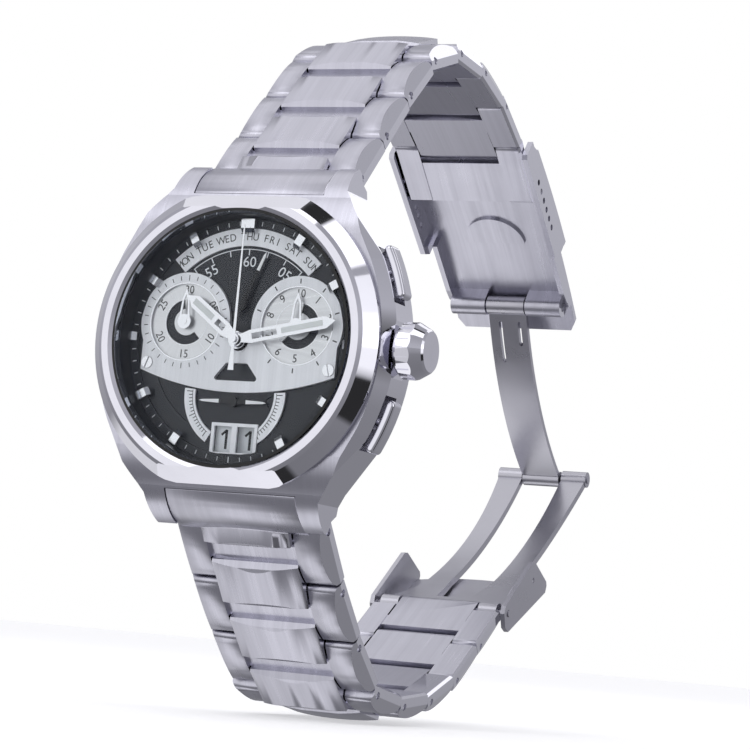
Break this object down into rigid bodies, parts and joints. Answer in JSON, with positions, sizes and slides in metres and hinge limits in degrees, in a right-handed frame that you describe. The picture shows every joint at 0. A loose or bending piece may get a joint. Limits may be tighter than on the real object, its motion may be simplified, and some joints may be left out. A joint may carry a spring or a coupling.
{
  "type": "wristwatch",
  "caption": "Steel chronograph wristwatch with a big date, a link bracelet and a folding clasp shown open; crown, pushers, hands, links and clasp move.",
  "frame": {"origin": "centre of the case back's outer face", "axes": "+X to the crown, +Z to 12 o'clock, dial faces -Y, the bracelet loops back along +Y"},
  "size_m": [0.0466, 0.1233, 0.0981],
  "materials": {
    "circuit_green": "printed board",
    "date_white": "matt print",
    "dial_black": "lacquer, near black",
    "dial_silver": "matt silver",
    "gasket_rubber": "matt",
    "hand_steel": "polished",
    "holder_plastic": "moulded",
    "movement_metal": "nickel plated",
    "sapphire": "clear, flat",
    "steel_brushed": "fine straight brushing",
    "steel_polished": "mirror polished",
    "steel_satin": "satin"
  },
  "bodies": {
    "head": {"battery": "movement_metal", "bezel": "steel_polished", "case_back": "steel_satin", "case_back_screws": "steel_satin", "case_middle": "steel_brushed", "case_tubes": "steel_satin", "chapter_ring": "dial_black", "circuit_and_coil": "circuit_green", "counter_discs": "dial_silver", "crystal": "sapphire", "date_frame_and_scales": "dial_silver", "day_arc": "dial_silver", "dial_plate": "dial_black", "end_link_12": "steel_brushed", "end_link_6": "steel_brushed", "end_link_pins": "steel_brushed", "gaskets": "gasket_rubber", "hour_markers": "hand_steel", "main_plate": "movement_metal", "mask_plate": "dial_silver", "mask_screws": "hand_steel", "movement_holder": "holder_plastic", "train_bridge": "movement_metal"},
    "date_units": {"date_units_disc": "date_white"},
    "date_tens": {"date_tens_disc": "date_white"},
    "hour": {"hour_hand": "hand_steel"},
    "minute": {"minute_hand": "hand_steel"},
    "chronograph_seconds": {"chronograph_seconds_hand": "hand_steel"},
    "minute_counter": {"minute_counter_hand": "hand_steel"},
    "hour_counter": {"hour_counter_hand": "hand_steel"},
    "small_seconds": {"small_seconds_hand": "hand_steel"},
    "lower_indicator": {"lower_hand": "hand_steel"},
    "crown_lever": {"setting_lever": "movement_metal"},
    "crown": {"crown": "steel_polished", "winding_stem": "steel_satin"},
    "start_button": {"start_pusher": "steel_polished"},
    "reset_button": {"reset_pusher": "steel_polished"},
    "top_1": {"top_link_1": "steel_brushed"},
    "top_2": {"top_link_2": "steel_brushed"},
    "top_3": {"top_link_3": "steel_brushed"},
    "top_4": {"top_link_4": "steel_brushed"},
    "top_5": {"top_link_5": "steel_brushed"},
    "top_6": {"top_link_6": "steel_brushed"},
    "top_7": {"top_link_7": "steel_brushed"},
    "top_8": {"top_link_8": "steel_brushed"},
    "bottom_1": {"bottom_link_1": "steel_brushed"},
    "bottom_2": {"bottom_link_2": "steel_brushed"},
    "bottom_3": {"bottom_link_3": "steel_brushed"},
    "bottom_4": {"bottom_link_4": "steel_brushed"},
    "bottom_5": {"bottom_link_5": "steel_brushed"},
    "bottom_6": {"bottom_link_6": "steel_brushed"},
    "bottom_7": {"bottom_link_7": "steel_brushed"},
    "bottom_8": {"bottom_link_8": "steel_brushed"},
    "cover": {"clasp_cover": "steel_brushed", "clasp_spring_bar": "steel_satin", "clasp_barrel_pin": "steel_satin"},
    "blade": {"clasp_blade": "steel_satin"},
    "fork": {"clasp_fork": "steel_satin", "clasp_root_pin": "steel_satin"},
    "flap": {"safety_flap": "steel_satin"}
  },
  "joints": [
    {"name": "minute_turn", "type": "hinge", "parent": "head", "child": "minute", "pos_m": [0, -0.0085, 0], "axis": [0, 1, 0], "continuous": true},
    {"name": "hour_turn", "type": "hinge", "parent": "head", "child": "hour", "pos_m": [0, -0.0085, 0], "axis": [0, 1, 0], "continuous": true},
    {"name": "chronograph_seconds_turn", "type": "hinge", "parent": "head", "child": "chronograph_seconds", "pos_m": [0, -0.0085, 0], "axis": [0, 1, 0], "continuous": true},
    {"name": "minute_counter_turn", "type": "hinge", "parent": "head", "child": "minute_counter", "pos_m": [-0.008, -0.0085, 0.0022], "axis": [0, 1, 0], "continuous": true},
    {"name": "hour_counter_turn", "type": "hinge", "parent": "head", "child": "hour_counter", "pos_m": [0.008, -0.0085, 0.0022], "axis": [0, 1, 0], "continuous": true},
    {"name": "lower_indicator_turn", "type": "hinge", "parent": "head", "child": "lower_indicator", "pos_m": [0, -0.0085, -0.0079], "axis": [0, 1, 0], "continuous": true},
    {"name": "date_units_turn", "type": "hinge", "parent": "head", "child": "date_units", "pos_m": [0, -0.0085, 0], "axis": [0, 1, 0], "continuous": true},
    {"name": "date_tens_turn", "type": "hinge", "parent": "head", "child": "date_tens", "pos_m": [0, -0.0085, 0], "axis": [0, 1, 0], "continuous": true},
    {"name": "small_seconds_turn", "type": "hinge", "parent": "head", "child": "small_seconds", "pos_m": [0, -0.0085, 0.0046], "axis": [0, 1, 0], "range_deg": [-60, 16]},
    {"name": "crown_pull", "type": "slide", "parent": "head", "child": "crown_lever", "axis": [1, 0, 0], "range_m": [0, 0.001]},
    {"name": "crown_turn", "type": "hinge", "parent": "crown_lever", "child": "crown", "pos_m": [0.02, -0.0054, 0], "axis": [1, 0, 0], "continuous": true},
    {"name": "start_button_press", "type": "slide", "parent": "head", "child": "start_button", "axis": [-0.9318, 0, -0.3629], "range_m": [0, 0.0008], "stiffness_N_per_m": 1500, "springref_m": -0.0004},
    {"name": "reset_button_press", "type": "slide", "parent": "head", "child": "reset_button", "axis": [-0.9318, 0, 0.3629], "range_m": [0, 0.0008], "stiffness_N_per_m": 1500, "springref_m": -0.0004},
    {"name": "top_1_hinge", "type": "hinge", "parent": "head", "child": "top_1", "pos_m": [0, 0.0005, 0.0232], "axis": [1, 0, 0], "range_deg": [-15, 14]},
    {"name": "top_2_hinge", "type": "hinge", "parent": "top_1", "child": "top_2", "pos_m": [0, 0.00745, 0.03039], "axis": [1, 0, 0], "range_deg": [-15, 3]},
    {"name": "top_3_hinge", "type": "hinge", "parent": "top_2", "child": "top_3", "pos_m": [0, 0.01439, 0.03759], "axis": [1, 0, 0], "range_deg": [-15, 7]},
    {"name": "top_4_hinge", "type": "hinge", "parent": "top_3", "child": "top_4", "pos_m": [0, 0.02183, 0.04428], "axis": [1, 0, 0], "range_deg": [-10, 25]},
    {"name": "top_5_hinge", "type": "hinge", "parent": "top_4", "child": "top_5", "pos_m": [0, 0.03122, 0.0477], "axis": [-1, 0, 0], "range_deg": [-25, 10]},
    {"name": "top_6_hinge", "type": "hinge", "parent": "top_5", "child": "top_6", "pos_m": [0, 0.04122, 0.04735], "axis": [-1, 0, 0], "range_deg": [-17, 15]},
    {"name": "top_7_hinge", "type": "hinge", "parent": "top_6", "child": "top_7", "pos_m": [0, 0.05083, 0.04459], "axis": [-1, 0, 0], "range_deg": [-15, 15]},
    {"name": "top_8_hinge", "type": "hinge", "parent": "top_7", "child": "top_8", "pos_m": [0, 0.05966, 0.0399], "axis": [-1, 0, 0], "range_deg": [-15, 15]},
    {"name": "bottom_1_hinge", "type": "hinge", "parent": "head", "child": "bottom_1", "pos_m": [0, 0.0005, -0.0232], "axis": [1, 0, 0], "range_deg": [-11, 15]},
    {"name": "bottom_2_hinge", "type": "hinge", "parent": "bottom_1", "child": "bottom_2", "pos_m": [0, 0.00706, -0.03075], "axis": [1, 0, 0], "range_deg": [-8, 15]},
    {"name": "bottom_3_hinge", "type": "hinge", "parent": "bottom_2", "child": "bottom_3", "pos_m": [0, 0.01425, -0.03769], "axis": [1, 0, 0], "range_deg": [-9, 15]},
    {"name": "bottom_4_hinge", "type": "hinge", "parent": "bottom_3", "child": "bottom_4", "pos_m": [0, 0.02213, -0.04385], "axis": [1, 0, 0], "range_deg": [-33, 2]},
    {"name": "bottom_5_hinge", "type": "hinge", "parent": "bottom_4", "child": "bottom_5", "pos_m": [0, 0.03204, -0.04524], "axis": [-1, 0, 0], "range_deg": [-15, 16]},
    {"name": "bottom_6_hinge", "type": "hinge", "parent": "bottom_5", "child": "bottom_6", "pos_m": [0, 0.042, -0.04437], "axis": [-1, 0, 0], "range_deg": [-15, 17]},
    {"name": "bottom_7_hinge", "type": "hinge", "parent": "bottom_6", "child": "bottom_7", "pos_m": [0, 0.05145, -0.04111], "axis": [-1, 0, 0], "range_deg": [-15, 16]},
    {"name": "bottom_8_hinge", "type": "hinge", "parent": "bottom_7", "child": "bottom_8", "pos_m": [0, 0.05993, -0.03582], "axis": [-1, 0, 0], "range_deg": [-15, 4]},
    {"name": "cover_hinge", "type": "hinge", "parent": "top_8", "child": "cover", "pos_m": [0, 0.06594, 0.03463], "axis": [1, 0, 0], "range_deg": [-25, 0]},
    {"name": "blade_hinge", "type": "hinge", "parent": "cover", "child": "blade", "pos_m": [0, 0.08553, 0.01959], "axis": [1, 0, 0], "range_deg": [-150, 8]},
    {"name": "fork_hinge", "type": "hinge", "parent": "bottom_8", "child": "fork", "pos_m": [0, 0.06832, -0.03037], "axis": [1, 0, 0], "range_deg": [-8, 20]},
    {"name": "flap_hinge", "type": "hinge", "parent": "fork", "child": "flap", "pos_m": [0, 0.06832, -0.03037], "axis": [1, 0, 0], "range_deg": [-90, 1]}
  ],
  "couplings": [
    {"joint": "hour_turn", "follows": "minute_turn", "ratio": 0.083333},
    {"joint": "minute_counter_turn", "follows": "chronograph_seconds_turn", "ratio": 0.033333},
    {"joint": "hour_counter_turn", "follows": "chronograph_seconds_turn", "ratio": 0.0016667}
  ]
}
